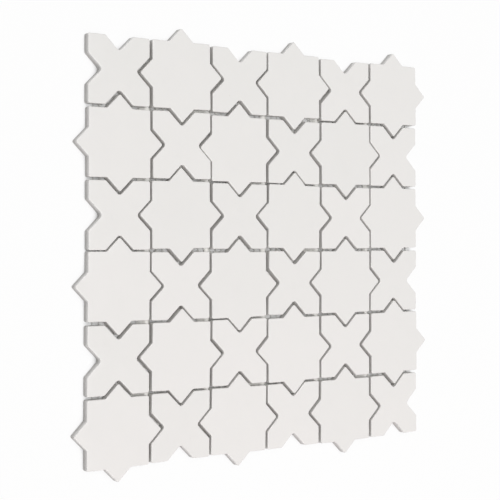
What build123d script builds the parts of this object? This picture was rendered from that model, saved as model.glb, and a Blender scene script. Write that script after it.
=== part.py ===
from build123d import *
import os
from math import degrees, floor, radians, tan
from random import Random

# Star and cross mosaic sheet. Eight-pointed stars and the crosses between them are laid in a chequerboard,
# faces up, on a net of glass yarn. Millimetres, +Z out of the glazed faces, +Y towards the first row.
# The origin is on the floor under the middle of the sheet.

# Sheet
rows = 6
columns = 6
module = 50.0  # centre to centre of neighbouring tiles
joint = 2.0  # gap between neighbouring tiles, left open for grout

# Tiles
tile_thickness = 6.0
edge_ease = 0.8  # bevel round the glazed face
face_corner = 0.5  # corner radius left on the glazed face, inside the bevel
notch_radius = 2.4  # inner corner of a cross, where a star point goes in

# Lay of the tiles: each sits a little off its place, by up to this share of the joint
lay_play = 0.28
lay_seed = 7703172

# Backing net
thread_spacing = 5.0
thread_width = 1.0
thread_thickness = 0.25
net_inset = 4.0  # from the outer tile edges to the edge of the net
notch_trim = 1.5  # the net is cut back this far under the walls of the notches at the sheet's edges

# Both tiles come from the same two squares: a tile's own, and the one that a star cuts out of a cross
tile_side = module - joint
notch_side = module + joint
corner_radius = face_corner + edge_ease
half_turn_of_square = 45.0
right_angle_cut = 1 - tan(radians(22.5))  # legs, as shares of a radius, of the cuts that leave flats touching
second_cut = tan(radians(22.5)) - tan(radians(11.25))  # an arc of that radius in a right-angled corner
star_reach = tile_side / 2**0.5
bed_height = 2 * thread_thickness
lay_shift = lay_play * joint
lay_turn = degrees(lay_shift / star_reach)
lay = Random(lay_seed)


def tile_centre(row, column):
    """Place of a tile in the chequerboard, rows counted from +Y and columns from -X."""
    return ((column - (columns - 1) / 2) * module, ((rows - 1) / 2 - row) * module)


def is_star(row, column):
    """Stars and crosses take turns along every row and column, with a cross in the first corner."""
    return (row + column) % 2 == 1


def laid_plane(row, column):
    """Plane of a tile's back, shifted and turned from its true place by the play of the lay."""
    x, y = tile_centre(row, column)
    origin = (x + lay.uniform(-lay_shift, lay_shift), y + lay.uniform(-lay_shift, lay_shift), bed_height)
    turned = Vector(1, 0, 0).rotate(Axis.Z, lay.uniform(-lay_turn, lay_turn))
    return Plane(origin=origin, x_dir=turned, z_dir=(0, 0, 1))


def soften(outline, ring, radius):
    """Rounds the right-angled corners on the nearest (0) or farthest (-1) ring in three flats each."""
    for cut in (right_angle_cut, second_cut):
        chamfer(outline.vertices().group_by(SortBy.DISTANCE, tol_digits=3)[ring], cut * radius)


def make_star(plane):
    """Eight-pointed star: a square and the same square turned by half a right angle."""
    with BuildPart() as star:
        with BuildSketch(plane) as outline:
            Rectangle(tile_side, tile_side)
            Rectangle(tile_side, tile_side, rotation=half_turn_of_square)
            soften(outline, -1, corner_radius)
        extrude(amount=tile_thickness)
        chamfer(star.faces().sort_by(Axis.Z)[-1].edges(), edge_ease)
    return star.part


def make_cross(plane):
    """Cross: a square with a notch in each side, cut by the turned square of a star and its joint."""
    with BuildPart() as cross:
        with BuildSketch(plane) as outline:
            Rectangle(tile_side, tile_side)
            with PolarLocations(module, 4):
                Rectangle(notch_side, notch_side, rotation=half_turn_of_square, mode=Mode.SUBTRACT)
            soften(outline, -1, corner_radius)
            soften(outline, 0, notch_radius)
        extrude(amount=tile_thickness)
        chamfer(cross.faces().sort_by(Axis.Z)[-1].edges(), edge_ease)
    return cross.part


def edge_stars():
    """Centres of the stars of the next sheets, whose points go into the notches at this sheet's edges."""
    beside = [(row, column) for row in range(rows) for column in (-1, columns)]
    above = [(row, column) for row in (-1, rows) for column in range(columns)]
    return [tile_centre(row, column) for row, column in beside + above if is_star(row, column)]


def make_threads(length, reach, along_x, height):
    """One layer of the net: parallel flat yarns over the reach, cut back round the edge notches."""
    count = floor((reach - thread_width) / thread_spacing) + 1
    trim_side = notch_side + 2 * notch_trim
    with BuildPart() as layer:
        with BuildSketch(Plane.XY.offset(height)):
            if along_x:
                with GridLocations(length, thread_spacing, 1, count):
                    Rectangle(length, thread_width)
            else:
                with GridLocations(thread_spacing, length, count, 1):
                    Rectangle(thread_width, length)
            with Locations(*edge_stars()):
                Rectangle(trim_side, trim_side, rotation=half_turn_of_square, mode=Mode.SUBTRACT)
        extrude(amount=thread_thickness)
    return layer.part


def save(part, name):
    """Labels a finished piece and writes it."""
    part.label = name
    export_step(part, f"parts/{name}.step")


os.makedirs("parts", exist_ok=True)

for row in range(rows):
    for column in range(columns):
        plane = laid_plane(row, column)
        place = f"r{row + 1}_c{column + 1}"
        if is_star(row, column):
            save(make_star(plane), f"star_tile_{place}")
        else:
            save(make_cross(plane), f"cross_tile_{place}")

net_width = columns * module - joint - 2 * net_inset
net_depth = rows * module - joint - 2 * net_inset
save(make_threads(net_width, net_depth, True, 0), "mesh_weft_threads")
save(make_threads(net_depth, net_width, False, thread_thickness), "mesh_warp_threads")
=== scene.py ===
import bpy
import numpy as np
from bpy.props import FloatProperty, FloatVectorProperty, IntProperty, PointerProperty
from mathutils import Matrix, Vector


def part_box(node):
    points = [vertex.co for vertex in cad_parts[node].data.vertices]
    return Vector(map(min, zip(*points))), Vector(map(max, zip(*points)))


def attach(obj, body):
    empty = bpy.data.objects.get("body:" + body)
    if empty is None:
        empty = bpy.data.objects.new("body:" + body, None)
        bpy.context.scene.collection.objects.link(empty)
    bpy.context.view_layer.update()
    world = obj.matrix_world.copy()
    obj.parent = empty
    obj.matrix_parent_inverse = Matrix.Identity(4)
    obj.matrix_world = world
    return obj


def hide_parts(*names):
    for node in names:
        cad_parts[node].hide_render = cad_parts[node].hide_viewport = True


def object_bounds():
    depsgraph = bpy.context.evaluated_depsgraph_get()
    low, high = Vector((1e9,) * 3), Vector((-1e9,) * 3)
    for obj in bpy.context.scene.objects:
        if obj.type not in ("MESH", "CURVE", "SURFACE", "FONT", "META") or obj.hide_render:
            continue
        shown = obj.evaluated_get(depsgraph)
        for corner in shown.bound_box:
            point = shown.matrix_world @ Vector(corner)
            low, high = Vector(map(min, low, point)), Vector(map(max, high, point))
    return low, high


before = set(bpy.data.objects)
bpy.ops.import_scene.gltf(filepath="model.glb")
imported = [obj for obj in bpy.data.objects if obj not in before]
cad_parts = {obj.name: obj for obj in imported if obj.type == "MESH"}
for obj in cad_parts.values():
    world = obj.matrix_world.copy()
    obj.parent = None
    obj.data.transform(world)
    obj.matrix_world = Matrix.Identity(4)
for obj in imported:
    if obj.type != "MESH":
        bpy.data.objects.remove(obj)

# Star and cross mosaic sheet: glazed porcelain tiles, faces up, glued to a net of glass yarn.
# Metres, in the frame of the CAD: +Z out of the glazed faces, +Y towards the first row.

bl_info = {
    "name": "Star and Cross Mosaic Sheet",
    "version": (1, 0, 0),
    "blender": (4, 5, 0),
    "location": "View3D > Sidebar > Mosaic",
    "description": "Dresses a star and cross mosaic sheet with glazed tiles, glass net and glue",
    "category": "Object",
}

MM = 0.001
STAR_TIPS = 8
CROSS_TIPS = 4
TILE_ARC_STEPS = 6
TILE_EDGE_STEPS = 4
cad_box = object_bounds()
face_height = cad_box[1].z
bed_height = min(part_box(node)[0].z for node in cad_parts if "_tile_" in node)
stars = sorted(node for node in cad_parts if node.startswith("star_tile"))
crosses = sorted(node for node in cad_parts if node.startswith("cross_tile"))


def linear(red, green, blue):
    """Linear colour of a screen colour that is given from 0 to 255."""
    screen = np.array((red, green, blue)) / 255
    return tuple(np.where(screen > 0.04045, ((screen + 0.055) / 1.055) ** 2.4, screen / 12.92))


# Settings

class MosaicTileShape(bpy.types.PropertyGroup):
    """Shape of the glazed tiles"""

    module: FloatProperty(
        name="Module", description="Centre to centre of neighbouring tiles", default=50 * MM, unit="LENGTH")
    joint: FloatProperty(
        name="Joint", description="Gap between neighbouring tiles with their glaze on", default=1.93 * MM,
        unit="LENGTH")
    tip_radius: FloatProperty(
        name="Tip Radius", description="Plan radius of the points of stars and crosses", default=1.35 * MM,
        unit="LENGTH")
    shoulder_radius: FloatProperty(
        name="Shoulder Radius", description="Plan radius where a cross's edge turns into its notch",
        default=1.5 * MM, unit="LENGTH")
    notch_radius: FloatProperty(
        name="Notch Radius", description="Plan radius at the bottom of a cross's notch", default=2.4 * MM,
        unit="LENGTH")
    crook_radius: FloatProperty(
        name="Crook Radius", description="Plan radius between two points of a star", default=1.0 * MM,
        unit="LENGTH")
    roll_radius: FloatProperty(
        name="Roll Radius", description="Radius of the glaze where it rolls over the edge",
        default=0.65 * MM, unit="LENGTH")
    back_arris: FloatProperty(
        name="Back Arris", description="Small easing round the back", default=0.25 * MM, unit="LENGTH")
    crown: FloatProperty(
        name="Crown", description="How far the face falls from its middle to its edge", default=0.1 * MM,
        unit="LENGTH")
    ripple: FloatProperty(
        name="Ripple", description="Height of the slow waves in the glaze", default=0.03 * MM, unit="LENGTH")
    wall_wave: FloatProperty(
        name="Wall Wave", description="How far the pressed walls wander", default=0.04 * MM, unit="LENGTH")
    seed: IntProperty(name="Seed", description="Draw of the waves and tones of the tiles", default=4)


class MosaicTileFinish(bpy.types.PropertyGroup):
    """Glaze and body of the tiles"""

    glaze: FloatVectorProperty(
        name="Glaze", description="Colour of the satin glaze", default=linear(228.8, 227.8, 225.1),
        subtype="COLOR")
    body: FloatVectorProperty(
        name="Body", description="Colour of the bare porcelain on the walls and back",
        default=linear(212, 210.5, 208), subtype="COLOR")
    speck: FloatVectorProperty(
        name="Speck", description="Colour of the iron specks in the glaze", default=linear(186, 176, 164),
        subtype="COLOR")
    tone_spread: FloatProperty(
        name="Tone Spread", description="How much lighter or darker one tile is than the next",
        default=0.012, subtype="FACTOR")
    glaze_roughness: FloatProperty(
        name="Glaze Roughness", description="Roughness of the satin glaze", default=0.2, subtype="FACTOR")
    body_roughness: FloatProperty(
        name="Body Roughness", description="Roughness of the bare porcelain", default=0.8, subtype="FACTOR")
    glaze_depth: FloatProperty(
        name="Glaze Depth", description="How far the glaze runs down the walls", default=2.4 * MM,
        unit="LENGTH")


class MosaicNet(bpy.types.PropertyGroup):
    """Glass net that carries the tiles, and the glue on it"""

    spacing: FloatProperty(
        name="Spacing", description="Distance between neighbouring yarns", default=5 * MM, unit="LENGTH")
    weft_width: FloatProperty(
        name="Weft Width", description="Width of the flat weft yarn", default=1 * MM, unit="LENGTH")
    strand_width: FloatProperty(
        name="Strand Width", description="Width of one of the two strands of a warp yarn", default=0.5 * MM,
        unit="LENGTH")
    strand_swing: FloatProperty(
        name="Strand Swing", description="How far a warp strand swings to each side", default=0.3 * MM,
        unit="LENGTH")
    thickness: FloatProperty(
        name="Yarn Thickness", description="Thickness of a pressed yarn", default=0.18 * MM, unit="LENGTH")
    yarn: FloatVectorProperty(
        name="Yarn", description="Colour of the coated glass yarn", default=linear(226, 225, 220),
        subtype="COLOR")
    glue: FloatVectorProperty(
        name="Glue", description="Colour of the dried white glue", default=linear(240, 239, 235),
        subtype="COLOR")
    film_inset: FloatProperty(
        name="Film Inset", description="From a tile's edge to the edge of the glue under it",
        default=1.6 * MM, unit="LENGTH")
    film_thickness: FloatProperty(
        name="Film Thickness", description="Thickness of the glue under a tile", default=0.24 * MM,
        unit="LENGTH")
    bead_share: FloatProperty(
        name="Bead Share", description="Share of the places where a yarn leaves a tile that hold a bead",
        default=0.6, subtype="FACTOR")
    slant_share: FloatProperty(
        name="Slant Share", description="Share of those beads that slanting edges keep", default=0.25,
        subtype="FACTOR")
    bead_width: FloatProperty(
        name="Bead Width", description="Largest width of a bead of glue", default=2.0 * MM, unit="LENGTH")
    pad_radius: FloatProperty(
        name="Pad Radius", description="Half the width of the pad of glue under a crossing of the joints",
        default=2.4 * MM, unit="LENGTH")
    pad_run: FloatProperty(
        name="Pad Run", description="How far the longest of these pads runs along its joint",
        default=20 * MM, unit="LENGTH")
    seed: IntProperty(
        name="Seed", description="Draw of the glue and of the wander of the yarns", default=7)


class MosaicStage(bpy.types.PropertyGroup):
    """Floor, lamps and camera"""

    eye: FloatVectorProperty(
        name="Eye", description="Where the camera stands", default=(-0.5038, 0.0088, 0.7233),
        subtype="TRANSLATION")
    target: FloatVectorProperty(
        name="Target", description="Point of the sheet that the lens points at",
        default=(-0.0161, 0.0298, face_height), subtype="TRANSLATION")
    lens: FloatProperty(
        name="Lens", description="Focal length in millimetres on a 36 mm sensor", default=84.13)
    lens_shift: FloatProperty(
        name="Lens Shift", description="Upward shift of the picture, as a share of its width", default=-0.08)
    roll: FloatProperty(
        name="Roll", description="How far the camera is turned about its line of sight",
        default=np.radians(0.09), subtype="ANGLE")
    lamp_place: FloatVectorProperty(
        name="Lamp Place", description="Middle of the overhead soft lamp", default=(0.03, 0.02, 1.8),
        subtype="TRANSLATION")
    lamp_size: FloatVectorProperty(
        name="Lamp Size", description="Sides of the soft lamp along X and Y", default=(0.95, 3.3), size=2,
        unit="LENGTH")
    lamp_power: FloatProperty(
        name="Lamp Power", description="Power of the soft lamp in watts", default=33.3)
    bounce_place: FloatVectorProperty(
        name="Bounce Place", description="Middle of the weak warm light from the near side",
        default=(0, -0.55, 0.5), subtype="TRANSLATION")
    bounce_side: FloatProperty(
        name="Bounce Side", description="Side of the weak warm light", default=0.4, unit="LENGTH")
    bounce_power: FloatProperty(
        name="Bounce Power", description="Power of the weak warm light in watts", default=0.47)
    bounce: FloatVectorProperty(
        name="Bounce", description="Colour of the weak warm light", default=(1, 0.7, 0.74), subtype="COLOR")
    ambient: FloatProperty(
        name="Ambient", description="Strength of the light from all round", default=0.32)
    floor: FloatVectorProperty(
        name="Floor", description="Colour of the floor beside the sheet", default=(0.82, 0.82, 0.82),
        subtype="COLOR")
    # Painted shade: a darker patch of floor under the sheet, so that the joints show darker, as if shaded,
    # than the lit floor would make them
    painted_shade_bed: FloatVectorProperty(
        name="Bed", description="Colour of the floor under the sheet, as it shows in the joints",
        default=(0.62, 0.615, 0.605), subtype="COLOR")
    painted_shade_bed_side: FloatProperty(
        name="Bed Side", description="Side of the part of the floor under the sheet", default=0.276,
        unit="LENGTH")
    floor_glow: FloatProperty(
        name="Floor Glow",
        description="Share of plain white in the floor beside the sheet, as the camera sees it",
        default=0.92, subtype="FACTOR")
    floor_size: FloatProperty(name="Floor Size", description="Side of the floor", default=8, unit="LENGTH")


# Node sockets as numbers

class Wire:
    """Output socket in a node tree; arithmetic on it adds Math nodes to the tree"""

    def __init__(self, tree, socket=None):
        self.tree = tree
        self.socket = socket

    def node(self, kind, settings=None, inputs=None, output=0):
        """Add a node with its settings and the values or wires of its sockets; gives one output, if any."""
        made = self.tree.nodes.new("ShaderNode" + kind)
        for name, value in (settings or {}).items():
            setattr(made, name, value)
        for name, value in (inputs or {}).items():
            if isinstance(value, Wire):
                self.tree.links.new(value.socket, made.inputs[name])
            else:
                made.inputs[name].default_value = value
        return Wire(self.tree, made.outputs[output]) if made.outputs else None

    def other(self, name):
        """Another output of the node that this wire comes from."""
        return Wire(self.tree, self.socket.node.outputs[name])

    def math(self, operation, first, second):
        """Math node on two numbers or wires."""
        return self.node("Math", {"operation": operation}, {0: first, 1: second})

    def __add__(self, other):
        return self.math("ADD", self, other)

    __radd__ = __add__

    def __sub__(self, other):
        return self.math("SUBTRACT", self, other)

    def __rsub__(self, other):
        return self.math("SUBTRACT", other, self)

    def __mul__(self, other):
        return self.math("MULTIPLY", self, other)

    __rmul__ = __mul__

    def __gt__(self, other):
        return self.math("GREATER_THAN", self, other)

    def rise(self, low, high):
        """0 below low and 1 above high, with a smooth step between them."""
        sockets = {"Value": self, "From Min": low, "From Max": high}
        return self.node("MapRange", {"interpolation_type": "SMOOTHSTEP"}, sockets)

    def choose(self, first, second):
        """Colour that goes from first to second as this wire goes from 0 to 1."""
        colours = {6: first if isinstance(first, Wire) else (*first, 1),
                   7: second if isinstance(second, Wire) else (*second, 1)}
        return self.node("Mix", {"data_type": "RGBA"}, {0: self, **colours}, output=2)

    def stretched(self, x, y, z):
        """This vector, scaled along each axis."""
        return self.node("Mapping", inputs={"Vector": self, "Scale": (x, y, z)}, output="Vector")

    def noise(self, scale, detail=2.0):
        """Cloudy pattern from 0 to 1 on this vector, with about scale clouds to the metre."""
        return self.node("TexNoise", inputs={"Vector": self, "Scale": scale, "Detail": detail})


def new_finish(name):
    """Empty material and the wire that starts its nodes."""
    material = bpy.data.materials.new(name)
    material.use_nodes = True
    material.node_tree.nodes.clear()
    return material, Wire(material.node_tree)


def close_finish(start, colour, roughness, relief, depth, **constants):
    """Shader of a finish: colour, roughness and a relief of the given depth in metres."""
    normal = start.node("Bump", inputs={"Height": relief, "Distance": depth})
    sockets = {"Base Color": colour, "Roughness": roughness, "Normal": normal, **constants}
    start.node("OutputMaterial", inputs={"Surface": start.node("BsdfPrincipled", inputs=sockets)})


def tile_finish(look):
    """Satin white glaze on the face and its rolled edge, bare sandy porcelain lower down and on the back.

    The glaze ends on a wandering line on the walls. It has slow clouds, a tone of each tile's own and a few
    iron specks. Below the line the body is duller and greyer, with grains.
    """
    line_wander, line_blur = 2 * MM, 0.5 * MM
    speck_share = 0.14
    hue_drift = 0.0015 * np.array((1, -1, 0))
    grain_depth = 0.12 * MM
    material, start = new_finish("satin_white_glaze")
    place = start.node("TexCoord", output="Object")
    height = start.node("SeparateXYZ", inputs={"Vector": place}, output="Z")
    tone = start.node("Attribute", {"attribute_name": "tone"}, output="Fac")
    clouds = place.noise(70, 3)
    grain = place.noise(2600, 4)
    peel = place.noise(420)

    line = face_height - look.glaze_depth
    wander = (place.noise(260, 3) - 0.5) * line_wander
    glazed = (height + wander).rise(line - line_blur, line + line_blur)

    cells = place.node("TexVoronoi", inputs={"Vector": place, "Scale": 90.0})
    chance = place.node("SeparateColor", inputs={0: cells.other("Color")})
    specks = (chance > 1 - speck_share) * (1 - cells.rise(0.01, 0.026))

    glaze = np.array(look.glaze)
    shade = 0.5 + tone * 0.35 + (clouds - 0.5) * 0.6
    dark, light = 1 - look.tone_spread - hue_drift, 1 + look.tone_spread + hue_drift
    satin = specks.choose(shade.choose(glaze * dark, glaze * light), look.speck)
    body = np.array(look.body)
    bare = (grain * 0.6 + clouds * 0.4).rise(0.3, 0.7).choose(body * 0.88, body * 1.04)
    colour = glazed.choose(bare, satin)
    polish = look.glaze_roughness - look.body_roughness
    rough = look.body_roughness + glazed * polish + (clouds - 0.5) * 0.12
    relief = glazed * peel * 0.12 + (1 - glazed) * grain
    close_finish(start, colour, rough, relief, grain_depth)
    return material


def yarn_finish(look, name, stretch):
    """Coated glass yarn: fine filaments along its length, with clots of coating."""
    filament_depth = 0.06 * MM
    material, start = new_finish(name)
    place = start.node("TexCoord", output="Object")
    filaments = place.stretched(*stretch).noise(1, 2)
    clots = place.noise(500)
    yarn = np.array(look.yarn)
    colour = (filaments * 0.7 + clots * 0.3).rise(0.3, 0.7).choose(yarn * 0.8, yarn * 1.04)
    close_finish(start, colour, 0.35 + clots * 0.3, filaments + clots * 0.5, filament_depth)
    return material


def glue_finish(look):
    """Dried white glue: a soft gloss with small dimples and cloudier, thinner places."""
    dimple_depth = 0.08 * MM
    material, start = new_finish("dried_white_glue")
    place = start.node("TexCoord", output="Object")
    dimples = place.noise(1300, 3)
    thin = place.noise(240)
    glue = np.array(look.glue)
    colour = thin.rise(0.35, 0.65).choose(glue, glue * 0.88)
    close_finish(start, colour, 0.3 + dimples * 0.25, dimples, dimple_depth)
    return material


# Surfaces

def put_in(name, points, *faces):
    """Mesh object of points and arrays of faces; an array has as many columns as its faces have corners."""
    mesh = bpy.data.meshes.new(name)
    corners = np.concatenate([group.ravel() for group in faces]).astype(np.int32)
    sizes = np.concatenate([np.full(len(group), group.shape[1]) for group in faces])
    starts = np.concatenate(([0], np.cumsum(sizes)[:-1])).astype(np.int32)
    mesh.vertices.add(len(points))
    mesh.vertices.foreach_set("co", points.astype(np.float32).ravel())
    mesh.loops.add(len(corners))
    mesh.loops.foreach_set("vertex_index", corners)
    mesh.polygons.add(len(sizes))
    mesh.polygons.foreach_set("loop_start", starts)
    mesh.polygons.foreach_set("use_smooth", np.ones(len(sizes), dtype=bool))
    mesh.update(calc_edges=True)
    piece = bpy.data.objects.new(name, mesh)
    bpy.context.scene.collection.objects.link(piece)
    return piece


def dress(piece, finish, slot, *nodes):
    """Give a piece its finish, let it ride on the sheet and stand for nodes of the frame. The slot is not
    used.
    """
    piece.data.materials.append(finish)
    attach(piece, "root")
    if nodes:
        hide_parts(*nodes)


def joined(shapes):
    """One list of points and one array per kind of face from several shapes of the same kinds of face."""
    points, *kinds = zip(*shapes)
    firsts = np.cumsum([0] + [len(own) for own in points[:-1]])
    faces = ([own + first for own, first in zip(kind, firsts)] for kind in kinds)
    return np.concatenate(points), *(np.concatenate(kind) for kind in faces)


def ring_faces(rows, columns):
    """Quads of a grid whose columns close into rings, facing away from the axis when rows go up."""
    row = np.arange(rows - 1)[:, None] * columns
    column = np.arange(columns)[None, :]
    after = (column + 1) % columns
    corners = (row + column, row + after, row + columns + after, row + columns + column)
    return np.stack(np.broadcast_arrays(*corners), axis=-1).reshape(-1, 4)


def waves(places, length, count, draw):
    """Sum of count sine waves of about one length, in random directions, from -1 to 1 at each place."""
    angle = draw.uniform(0, 2 * np.pi, count)
    step = 2 * np.pi / (length * draw.uniform(0.7, 1.4, count))
    phase = draw.uniform(0, 2 * np.pi, count)
    along = places[..., :1] * np.cos(angle) + places[..., 1:2] * np.sin(angle)
    return np.sin(along * step + phase).mean(axis=-1)


def own_draw(draw):
    """Random draw for a single piece, from a seed that the common draw gives it."""
    return np.random.default_rng(draw.integers(1 << 30))


def rounded(corners, radii, arc_steps, edge_steps):
    """Outline of a polygon with round corners: its points and outward normals, anticlockwise.

    Each corner becomes an arc that touches both its edges. The arc starts at radius times the tangent of
    half the turn before the corner, and its normal swings from that of the edge coming in to that of the
    edge going out. A corner that turns inwards has its arc on the other side. The edges are divided evenly
    between their arcs.
    """
    ahead = np.roll(corners, -1, axis=0) - corners
    ahead /= np.linalg.norm(ahead, axis=1, keepdims=True)
    coming = np.roll(ahead, 1, axis=0)
    turn = np.arctan2(coming[:, 0] * ahead[:, 1] - coming[:, 1] * ahead[:, 0], (coming * ahead).sum(axis=1))
    angle = np.arctan2(coming[:, 1], coming[:, 0])[:, None] - np.pi / 2
    angle = angle + turn[:, None] * np.linspace(0, 1, arc_steps + 1)
    normals = np.stack((np.cos(angle), np.sin(angle)), axis=-1)
    reach = (radii * np.abs(np.tan(turn / 2)))[:, None, None]
    bow = (radii * np.sign(turn))[:, None, None]
    arcs = corners[:, None] - reach * coming[:, None] + bow * (normals - normals[:, :1])
    share = (np.arange(1, edge_steps + 1) / (edge_steps + 1))[None, :, None]
    edges = arcs[:, -1:] * (1 - share) + np.roll(arcs, -1, axis=0)[:, :1] * share
    edge_normals = np.repeat(normals[:, -1:], edge_steps, axis=1)
    points = np.concatenate((arcs, edges), axis=1).reshape(-1, 2)
    return points, np.concatenate((normals, edge_normals), axis=1).reshape(-1, 2)


def star_outline(shape, arc_steps, edge_steps, inset):
    """Two squares of one side, one turned by 45 degrees: tips on their corners, crooks where edges cross.

    An inset moves every edge in by as much, and makes the corners rounder by as much.
    """
    side = shape.module - shape.joint - 2 * inset
    number = np.arange(2 * STAR_TIPS)
    angle = number * np.pi / STAR_TIPS
    is_tip = number % 2 == 0
    radius = np.where(is_tip, side / np.sqrt(2), side / 2 / np.cos(np.pi / STAR_TIPS))
    corners = radius[:, None] * np.stack((np.cos(angle), np.sin(angle)), axis=1)
    radii = np.where(is_tip, shape.tip_radius, shape.crook_radius) + inset
    return rounded(corners, radii, arc_steps, edge_steps)


def cross_outline(shape, arc_steps, edge_steps, inset):
    """A square less four turned ones, whose middles are a module away and whose sides are a joint larger.

    An inset moves every edge in by as much, and makes the corners rounder by as much.
    """
    joint = shape.joint + 2 * inset
    half = (shape.module - joint) / 2
    bottom = shape.module - (shape.module + joint) / np.sqrt(2)
    shoulder = half - bottom
    quarter = np.array(((bottom, 0), (half, shoulder), (half, half), (shoulder, half)))
    turns = np.arange(CROSS_TIPS) * 2 * np.pi / CROSS_TIPS
    swing = np.array(((np.cos(turns), -np.sin(turns)), (np.sin(turns), np.cos(turns))))
    corners = np.einsum("xyt,cy->tcx", swing, quarter).reshape(-1, 2)
    radii = (shape.notch_radius, shape.shoulder_radius, shape.tip_radius, shape.shoulder_radius)
    return rounded(corners, np.tile(radii, CROSS_TIPS) + inset, arc_steps, edge_steps)


def tile_kinds(shape, arc_steps, edge_steps, inset=0):
    """Nodes, outline, number of tips and angle of the first tip of the stars and of the crosses."""
    return (
        (stars, star_outline(shape, arc_steps, edge_steps, inset), STAR_TIPS, 0),
        (crosses, cross_outline(shape, arc_steps, edge_steps, inset), CROSS_TIPS, np.pi / 4),
    )


def node_corners(node):
    """Corners of a node of the frame, each one once, to a tenth of a micrometre."""
    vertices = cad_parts[node].data.vertices
    points = np.empty(len(vertices) * 3)
    vertices.foreach_get("co", points)
    return np.unique(points.reshape(-1, 3).round(7), axis=0)


def lay_of(node, tips, tip_angle):
    """Middle of a tile of the frame and how far it is turned.

    A tile looks the same after a turn from tip to tip. Its corners about their mean, as complex numbers to
    the power of the number of tips, add up to a number whose angle is that of a tip as many times.
    """
    corners = node_corners(node)[:, :2]
    middle = corners.mean(axis=0)
    total = ((corners - middle) @ (1, 1j)) ** tips
    return middle, np.angle(total.sum() * np.exp(-1j * tips * tip_angle)) / tips


def laid(points, middle, turn):
    """Plan points, turned and put at a middle."""
    swing = np.array(((np.cos(turn), np.sin(turn)), (-np.sin(turn), np.cos(turn))))
    return points @ swing + middle


def disc(outline, normals, profile, middle, turn, rise):
    """Closed surface from a profile that goes from the back's middle, over the rim, to the face's middle.

    A ring of the profile is the outline, moved in along its normals by the ring's inset, scaled by its scale
    and put at its height, plus what rise gives for its plan points. The two middles are poles.
    """
    inset, scale, height = (column[:, None, None] for column in profile.T)
    plan = laid((outline - inset * normals) * scale, middle, turn)
    high = height[..., 0] + rise(plan)
    rings = np.concatenate((plan, high[..., None]), axis=-1)
    rows, columns = high.shape
    poles = np.array(((*middle, profile[0, 2]), (*middle, high[-1].mean())))
    points = np.concatenate((rings.reshape(-1, 3), poles))
    first, last = rows * columns, rows * columns + 1
    around = np.arange(columns)
    after = (around + 1) % columns
    top = (rows - 1) * columns
    back_fan = np.stack((np.full(columns, first), after, around), axis=1)
    face_fan = np.stack((np.full(columns, last), top + around, top + after), axis=1)
    return points, ring_faces(rows, columns), np.concatenate((back_fan, face_fan))


def tile_profile(shape):
    """Inset, scale and height of a tile's rings: flat back, arris, upright wall, rolled edge, crowned face.

    The rolled edge is a quarter circle. The face falls from its middle by the crown times the sixth power of
    the scale.
    """
    wall_rings, edge_rings = 4, 8
    low, high, arris, roll = bed_height, face_height - shape.crown, shape.back_arris, shape.roll_radius
    back = [(4 * arris, 1, low), (arris, 1, low), (0.3 * arris, 1, low + 0.3 * arris)]
    wall = [(0, 1, level) for level in np.linspace(low + arris, high - roll, wall_rings, endpoint=False)]
    bend = np.radians(np.linspace(0, 90, edge_rings))
    inset, level = roll - roll * np.cos(bend), high - roll + roll * np.sin(bend)
    edge = np.stack((inset, np.ones(edge_rings), level), axis=1)
    scale = np.array((0.985, 0.95, 0.88, 0.76, 0.6, 0.4, 0.2))
    face = np.stack((np.full_like(scale, roll), scale, face_height - shape.crown * scale ** 6), axis=1)
    return np.concatenate((back, wall, edge, face))


def lay_tiles(settings, nodes, outline, tips, tip_angle, seed):
    """Put a glazed tile over each of the nodes, with waves, wall and tone of its own."""
    wall_length, face_length = 9 * MM, 22 * MM
    shape = settings.mosaic_tile
    points, normals = outline
    profile = tile_profile(shape)
    finish = bpy.data.materials.get("satin_white_glaze") or tile_finish(settings.mosaic_finish)
    draw = np.random.default_rng(seed)
    swell = np.where(profile[:, 1] < 1, 1 - profile[:, 1] ** 4, 0)[:, None]
    walls = ((profile[:, 0] == 0) & (profile[:, 1] == 1))[:, None, None]
    for node in nodes:
        middle, turn = lay_of(node, tips, tip_angle)
        wander = waves(points, wall_length, 6, draw)[:, None] * normals * shape.wall_wave
        own = own_draw(draw)
        tile = disc(
            points - walls * np.abs(wander), normals, profile, middle, turn,
            lambda plan: swell * shape.ripple * waves(plan, face_length, 7, own))
        piece = put_in("glazed_" + node, *tile)
        tone = piece.data.attributes.new("tone", "FLOAT", "POINT")
        tone.data.foreach_set("value", np.full(len(tile[0]), draw.uniform(-1, 1), dtype=np.float32))
        dress(piece, finish, "glazed_porcelain", node)


def yarn_runs(node, along, spacing):
    """Place across, start and end of each stretch of yarn in a node of the frame.

    The two lowest sides in the node are those of its first yarn, and the others are whole spacings away.
    The ends on one side of the yarns, sorted by yarn and then along it, are a start and an end in turn. A
    stretch starts and ends halfway between those of its two sides.
    """
    close = 0.01 * MM
    corners = node_corners(node)
    corners = corners[corners[:, 2] < corners[:, 2].min() + close]
    across = corners[:, 1 - along]
    sides = np.unique((across / close).round()) * close
    first = (sides[0] + sides[1]) / 2
    yarn_number = np.round((across - first) / spacing)
    offset = across - first - yarn_number * spacing
    ends = []
    for side in (offset.min(), offset.max()):
        chosen = np.abs(offset - side) < close
        order = np.lexsort((corners[chosen, along], yarn_number[chosen]))
        ends.append(corners[chosen, along][order])
    places = first + spacing * yarn_number[chosen][order][0::2]
    middle = (ends[0] + ends[1]) / 2
    return places, middle[0::2], middle[1::2]


def yarn(path, across, width, thickness, section=6):
    """Flat tube: an ellipse, wide across the path and thin in Z, carried along it and closed at its ends."""
    angle = np.arange(section) * 2 * np.pi / section
    ellipse = np.cos(angle)[:, None] * across * width / 2 + np.sin(angle)[:, None] * (0, 0, thickness / 2)
    points = (path[:, None] + ellipse).reshape(-1, 3)
    caps = np.stack((np.arange(section)[::-1], (len(path) - 1) * section + np.arange(section)))
    return points, ring_faces(len(path), section), caps


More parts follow.
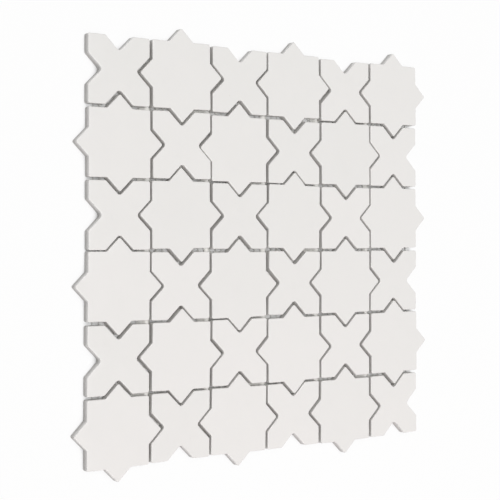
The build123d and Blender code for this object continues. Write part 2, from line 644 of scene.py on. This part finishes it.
def weft_yarns(net, draw):
    """Flat weft yarns along X, half way up the net, each wandering sideways in a sine wave of its own."""
    wander = 0.12 * MM
    slowest, fastest = 40, 90  # radians of the wave to the metre
    shapes = []
    for place, start, end in zip(*yarn_runs("mesh_weft_threads", 0, net.spacing)):
        x = np.linspace(start, end, 2 + round((end - start) / net.spacing))
        y = place + wander * np.sin(x * draw.uniform(slowest, fastest) + draw.uniform(0, 2 * np.pi))
        path = np.stack((x, y, np.full_like(x, bed_height / 2)), axis=1)
        shapes.append(yarn(path, np.array((0, -1, 0)), net.weft_width, net.thickness))
    return joined(shapes)


def warp_strands(net, over):
    """Strands of the warp yarns along Y. A pair swings from side to side and crosses between wefts.

    The swing is a cosine with half a wave to a spacing, widest at the wefts and the other way for the other
    strand. One strand goes over every weft and the other one under it. Between the wefts each comes nearer
    to the middle of the net by half its thickness.
    """
    clear_of_ends = 0.2 * MM
    sense = 1 if over else -1
    level = bed_height / 2 + sense * (bed_height - net.thickness) / 2
    first_weft = yarn_runs("mesh_weft_threads", 0, net.spacing)[0][0]
    half = net.spacing / 2
    shapes = []
    for place, start, end in zip(*yarn_runs("mesh_warp_threads", 1, net.spacing)):
        halves = np.arange(np.ceil((start - first_weft) / half), (end - first_weft) / half)
        inner = first_weft + half * halves
        inner = inner[(inner > start + clear_of_ends) & (inner < end - clear_of_ends)]
        y = np.concatenate(([start], inner, [end]))
        phase = np.pi * (y - first_weft) / net.spacing
        swing = np.cos(phase)
        between = np.sin(phase) ** 2
        x = place + sense * net.strand_swing * swing
        z = level - sense * 0.5 * net.thickness * between
        path = np.stack((x, y, z), axis=1)
        shapes.append(yarn(path, np.array((1, 0, 0)), net.strand_width, net.thickness))
    return joined(shapes)


def glue_films(settings, draw):
    """Film of glue under each tile: its outline, moved in and wandering, with a round edge and dents."""
    wander, wander_length = 0.9 * MM, 9 * MM
    dent, dent_length = 0.08 * MM, 6 * MM
    edge_width = 1 * MM
    net, shape = settings.mosaic_net, settings.mosaic_tile
    thick = net.film_thickness
    under = [(edge_width, scale, bed_height - thick) for scale in (0.3, 0.6, 0.85)]
    edge = [(edge_width, 1, bed_height - thick), (0.4 * edge_width, 1, bed_height - 0.7 * thick)]
    rim = [(0, 1, bed_height - 0.2 * thick), (0, 1, bed_height)]
    profile = np.array(under + edge + rim)
    lower = (profile[:, 2] < bed_height - 0.5 * thick)[:, None]
    films = []
    for nodes, (points, normals), tips, tip_angle in tile_kinds(shape, 3, 3, net.film_inset):
        for node in nodes:
            middle, turn = lay_of(node, tips, tip_angle)
            outline = points + wander * waves(points, wander_length, 5, draw)[:, None] * normals
            own = own_draw(draw)
            films.append(disc(
                outline, normals, profile, middle, turn,
                lambda plan: lower * dent * waves(plan, dent_length, 7, own)))
    return joined(films)


def glue_pads(settings, draw):
    """Pad of glue under each crossing of the joints, where the corners of four tiles meet.

    Its outline is an ellipse, drawn out towards -X by a run of its own and wandering a little. Its profile
    goes from its flat underside over a round rim to a low crown.
    """
    wander, wander_length = 0.5 * MM, 5 * MM
    dent, dent_length = 0.04 * MM, 4 * MM
    sides = 24
    net, shape = settings.mosaic_net, settings.mosaic_tile
    angle = np.linspace(0, 2 * np.pi, sides, endpoint=False)
    circle = np.stack((np.cos(angle), np.sin(angle)), axis=1)
    low, rim, top = 0.5 * bed_height, 0.75 * bed_height, 1.2 * bed_height
    profile = np.array(((0, 0.5, low), (0, 0.9, low), (0, 1, rim), (0, 0.93, bed_height), (0, 0.6, top)))
    tiles_along = round(np.sqrt(len(stars) + len(crosses)))
    lines = (np.arange(1, tiles_along) - tiles_along / 2) * shape.module
    pads = []
    for x in lines:
        for y in lines:
            run = net.pad_run * draw.random() ** 2
            radii = (net.pad_radius + run / 2, net.pad_radius * draw.uniform(0.8, 1.1))
            outline = circle * radii - (run / 2, 0)
            outline = outline + wander * waves(outline, wander_length, 4, draw)[:, None] * circle
            own = own_draw(draw)
            pads.append(disc(
                outline, circle, profile, (x, y), 0, lambda plan: dent * waves(plan, dent_length, 5, own)))
    return joined(pads)


def bead_places(settings, draw):
    """Places of the beads of glue, where yarns leave the straight edges of tiles, and the walls' normals.

    There are more beads where slow waves over the sheet are high and round the crossings of the joints, and
    fewer along slanting edges.
    """
    arc_steps, edge_steps = 4, 24
    sheet_margin = 21 * MM  # from the tips at the sheet's edge to the outermost beads
    on_yarn = 0.4 * MM
    patch_length = 110 * MM
    net, shape = settings.mosaic_net, settings.mosaic_tile
    places, walls = [], []
    for nodes, (points, normals), tips, tip_angle in tile_kinds(shape, arc_steps, edge_steps):
        straight = np.arange(len(points)) % (arc_steps + 1 + edge_steps) > arc_steps
        for node in nodes:
            middle, turn = lay_of(node, tips, tip_angle)
            places.append(laid(points[straight], middle, turn))
            walls.append(laid(normals[straight], 0, turn))
    places, walls = np.concatenate(places), np.concatenate(walls)
    nodes = ("mesh_warp_threads", "mesh_weft_threads")
    first_yarns = [yarn_runs(node, 1 - axis, net.spacing)[0][0] for axis, node in enumerate(nodes)]
    yarn_gap = np.abs(((places - first_yarns) / net.spacing + 0.5) % 1 - 0.5).min(axis=1) * net.spacing
    inside = (np.abs(places) < np.array(cad_box[1])[:2] - sheet_margin).all(axis=1)
    slanting = np.abs(walls).max(axis=1) < 0.9
    crossing_gap = np.linalg.norm(places - np.round(places / shape.module) * shape.module, axis=1)
    amount = net.bead_share * (1 + 2.5 * waves(places, patch_length, 6, draw))
    amount = amount * np.where(slanting, net.slant_share, 1)
    amount = amount * (0.7 + 2 * np.exp(-(crossing_gap / net.spacing) ** 2))
    chosen = inside & (yarn_gap < on_yarn) & (draw.random(len(places)) < amount)
    return places[chosen], walls[chosen]


def glue_beads(settings, draw):
    """Beads of glue in the joints: low domes on the net, drawn out along the walls of the tiles.

    The rings of a dome follow the cosine and sine of its height angle, and its top is a pole.
    """
    net = settings.mosaic_net
    places, walls = bead_places(settings, draw)
    count = len(places)
    size = net.bead_width / 2 * draw.uniform(0.4, 1, count)
    long = (size * draw.uniform(0.9, 1.8, count))[:, None, None]
    high = size * draw.uniform(0.6, 1.3, count)
    along = np.stack((-walls[:, 1], walls[:, 0]), axis=1)
    rise = np.radians((-15, 10, 35, 62))[:, None]
    rows, columns = len(rise), 8
    column = np.arange(columns)
    around = column * 2 * np.pi / columns
    level = 0.7 * bed_height
    centres = places + walls * (0.3 * size)[:, None]
    beside = (np.cos(rise) * np.cos(around) * long)[..., None] * along[:, None, None]
    off = (np.cos(rise) * np.sin(around) * size[:, None, None])[..., None] * walls[:, None, None]
    plan = centres[:, None, None] + beside - off
    up = np.broadcast_to(level + np.sin(rise) * high[:, None, None], plan.shape[:-1])
    rings = np.concatenate((plan, up[..., None]), axis=-1).reshape(count, -1, 3)
    tops = np.concatenate((centres, (level + high)[:, None]), axis=1)[:, None]
    points = np.concatenate((rings, tops), axis=1)
    first = (np.arange(count) * points.shape[1])[:, None, None]
    pole, last_ring = rows * columns, (rows - 1) * columns
    fan = np.stack((np.full(columns, pole), last_ring + column, last_ring + (column + 1) % columns), axis=1)
    quads = (ring_faces(rows, columns) + first).reshape(-1, 4)
    fans = (fan + first).reshape(-1, 3)
    floors = (column[::-1] + first[:, 0]).reshape(-1, columns)
    return points.reshape(-1, 3), quads, fans, floors


# Operators

class MOSAIC_OT_star_tiles(bpy.types.Operator):
    """Lay a glazed star over each star of the frame"""

    bl_idname = "mosaic.star_tiles"
    bl_label = "Star Tiles"

    def execute(self, context):
        shape = context.scene.mosaic_tile
        star_kind, _ = tile_kinds(shape, TILE_ARC_STEPS, TILE_EDGE_STEPS)
        lay_tiles(context.scene, *star_kind, shape.seed)
        return {"FINISHED"}


class MOSAIC_OT_cross_tiles(bpy.types.Operator):
    """Lay a glazed cross over each cross of the frame"""

    bl_idname = "mosaic.cross_tiles"
    bl_label = "Cross Tiles"

    def execute(self, context):
        shape = context.scene.mosaic_tile
        _, cross_kind = tile_kinds(shape, TILE_ARC_STEPS, TILE_EDGE_STEPS)
        lay_tiles(context.scene, *cross_kind, shape.seed + 1)
        return {"FINISHED"}


class MOSAIC_OT_backing_net(bpy.types.Operator):
    """Weave the glass net: flat wefts, and warps of two strands that cross between them"""

    bl_idname = "mosaic.backing_net"
    bl_label = "Backing Net"

    def execute(self, context):
        along, across = 60, 7000  # streaks to the metre, along and across a yarn
        net = context.scene.mosaic_net
        draw = np.random.default_rng(net.seed)
        weft_finish = yarn_finish(net, "weft_glass_yarn", (along, across, across))
        warp_finish = yarn_finish(net, "warp_glass_yarn", (across, along, across))
        dress(put_in("weft_yarns", *weft_yarns(net, draw)), weft_finish, "glass_net", "mesh_weft_threads")
        for name, over in (("warp_strands_over", True), ("warp_strands_under", False)):
            dress(put_in(name, *warp_strands(net, over)), warp_finish, "glass_net", "mesh_warp_threads")
        return {"FINISHED"}


class MOSAIC_OT_glue(bpy.types.Operator):
    """Spread the glue: films under the tiles, pads under the crossings of the joints, beads beside walls"""

    bl_idname = "mosaic.glue"
    bl_label = "Glue"

    def execute(self, context):
        settings = context.scene
        draw = np.random.default_rng(settings.mosaic_net.seed + 1)
        finish = glue_finish(settings.mosaic_net)
        dress(put_in("glue_films", *glue_films(settings, draw)), finish, "glass_net")
        dress(put_in("glue_pads", *glue_pads(settings, draw)), finish, "glass_net")
        dress(put_in("glue_beads", *glue_beads(settings, draw)), finish, "glass_net")
        return {"FINISHED"}


class MOSAIC_OT_stage(bpy.types.Operator):
    """Set up the white floor, the lights and the camera"""

    bl_idname = "mosaic.stage"
    bl_label = "Stage"

    def execute(self, context):
        scene = context.scene
        stage = scene.mosaic_stage
        scene.view_settings.view_transform = "Standard"
        lay_floor(stage)
        light_world(scene, stage)
        below_lamp, sheet_middle, white = (*stage.lamp_place[:2], 0), (0, 0, 0), (1, 1, 1)
        lamp = hang_lamp(scene, "soft_lamp", stage.lamp_place, below_lamp)
        light_up(lamp, stage.lamp_size, stage.lamp_power, white)
        bounce = hang_lamp(scene, "bounce", stage.bounce_place, sheet_middle)
        light_up(bounce, (stage.bounce_side, stage.bounce_side), stage.bounce_power, stage.bounce)
        stand_camera(scene, stage)
        return {"FINISHED"}


def seen(start):
    """1 for rays that show the background: the camera's own, and those through gloss and glass."""
    camera = start.node("LightPath", output="Is Camera Ray")
    return (camera + camera.other("Is Glossy Ray") + camera.other("Is Transmission Ray")).rise(0, 1)


def lay_floor(stage):
    """Square floor, darker under the sheet with painted shade that shows in the joints, with plain white in
    it for the camera beside the sheet.

    The white fades out where the sheet shades the floor.
    """
    painted_shade_fade, shade_reach = 6 * MM, 12 * MM
    half = stage.floor_size / 2
    corners = np.array(((-half, -half, 0), (half, -half, 0), (half, half, 0), (-half, half, 0)))
    floor = put_in("floor", corners, np.array(((0, 1, 2, 3),)))
    material, start = new_finish("white_floor")
    place = start.node("TexCoord", output="Object")
    out = place.node("VectorMath", {"operation": "ABSOLUTE"}, {0: place})
    far = out.math("MAXIMUM", *(out.node("SeparateXYZ", inputs={0: out}, output=axis) for axis in "XY"))
    # Painted shade: under the sheet the floor takes the darker bed colour, which darkens the joints
    beside = far.rise(stage.painted_shade_bed_side / 2, stage.painted_shade_bed_side / 2 + painted_shade_fade)
    paint = start.node("BsdfDiffuse", inputs={"Color": beside.choose(stage.painted_shade_bed, stage.floor)})
    glow = start.node("Emission", inputs={"Color": (1, 1, 1, 1)})
    openness = start.node("AmbientOcclusion", {"samples": 6}, {"Distance": shade_reach}, output="AO")
    unshaded = openness.rise(0.2, 0.45)
    share = seen(start) * unshaded * stage.floor_glow
    surface = start.node("MixShader", inputs={0: share, 1: paint, 2: glow})
    start.node("OutputMaterial", inputs={"Surface": surface})
    floor.data.materials.append(material)


def light_world(scene, stage):
    """White background for what sees it, and a weaker light from all round for the rest."""
    world = bpy.data.worlds.new("white_room")
    world.use_nodes = True
    world.node_tree.nodes.clear()
    start = Wire(world.node_tree)
    around = start.node("Background", inputs={"Color": (1, 1, 1, 1), "Strength": stage.ambient})
    white = start.node("Background", inputs={"Color": (1, 1, 1, 1), "Strength": 1.0})
    surface = start.node("MixShader", inputs={0: seen(start), 1: around, 2: white})
    start.node("OutputWorld", inputs={"Surface": surface})
    scene.world = world


def hang_lamp(scene, name, place, aim):
    """Area lamp at a place, facing the point that it is aimed at."""
    lamp = bpy.data.objects.new(name, bpy.data.lights.new(name, "AREA"))
    lamp.location = place
    lamp.rotation_euler = (Vector(place) - Vector(aim)).to_track_quat("Z", "Y").to_euler()
    lamp.visible_camera = False
    scene.collection.objects.link(lamp)
    return lamp


def light_up(lamp, size, power, colour):
    """Make a lamp a rectangle of two sides with a power in watts and a colour."""
    lamp.data.shape = "RECTANGLE"
    lamp.data.size, lamp.data.size_y = size
    lamp.data.energy = power
    lamp.data.color = colour


def stand_camera(scene, stage):
    """Camera at the eye, looking at the target, with +Y up in the picture but for its roll."""
    data = bpy.data.cameras.new("camera")
    data.lens = stage.lens
    data.shift_y = stage.lens_shift
    camera = bpy.data.objects.new("camera", data)
    back = (Vector(stage.eye) - Vector(stage.target)).normalized()
    right = Vector((0, 1, 0)).cross(back).normalized()
    upright = Matrix((right, back.cross(right), back)).transposed().to_4x4()
    camera.matrix_world = Matrix.Translation(stage.eye) @ upright @ Matrix.Rotation(stage.roll, 4, "Z")
    scene.collection.objects.link(camera)
    scene.camera = camera


class MOSAIC_PT_sheet(bpy.types.Panel):
    """Steps and settings of the mosaic sheet"""

    bl_idname = "MOSAIC_PT_sheet"
    bl_label = "Star and Cross Sheet"
    bl_space_type = "VIEW_3D"
    bl_region_type = "UI"
    bl_category = "Mosaic"

    def draw(self, context):
        for step in steps:
            self.layout.operator(step.bl_idname)
        for name, group in groups.items():
            box = self.layout.box()
            box.label(text=group.__doc__)
            for setting in group.__annotations__:
                box.prop(getattr(context.scene, name), setting)


groups = {
    "mosaic_tile": MosaicTileShape,
    "mosaic_finish": MosaicTileFinish,
    "mosaic_net": MosaicNet,
    "mosaic_stage": MosaicStage,
}
steps = (
    MOSAIC_OT_star_tiles, MOSAIC_OT_cross_tiles, MOSAIC_OT_backing_net, MOSAIC_OT_glue, MOSAIC_OT_stage)


def register():
    for kind in (*groups.values(), *steps, MOSAIC_PT_sheet):
        bpy.utils.register_class(kind)
    for name, group in groups.items():
        setattr(bpy.types.Scene, name, PointerProperty(type=group))


def unregister():
    for name in groups:
        delattr(bpy.types.Scene, name)
    for kind in reversed((*groups.values(), *steps, MOSAIC_PT_sheet)):
        bpy.utils.unregister_class(kind)


def main():
    """Dress the frame step by step."""
    register()
    bpy.ops.mosaic.star_tiles()
    bpy.ops.mosaic.cross_tiles()
    bpy.ops.mosaic.backing_net()
    bpy.ops.mosaic.glue()
    bpy.ops.mosaic.stage()
    bpy.context.view_layer.update()


if __name__ == "__main__":
    main()
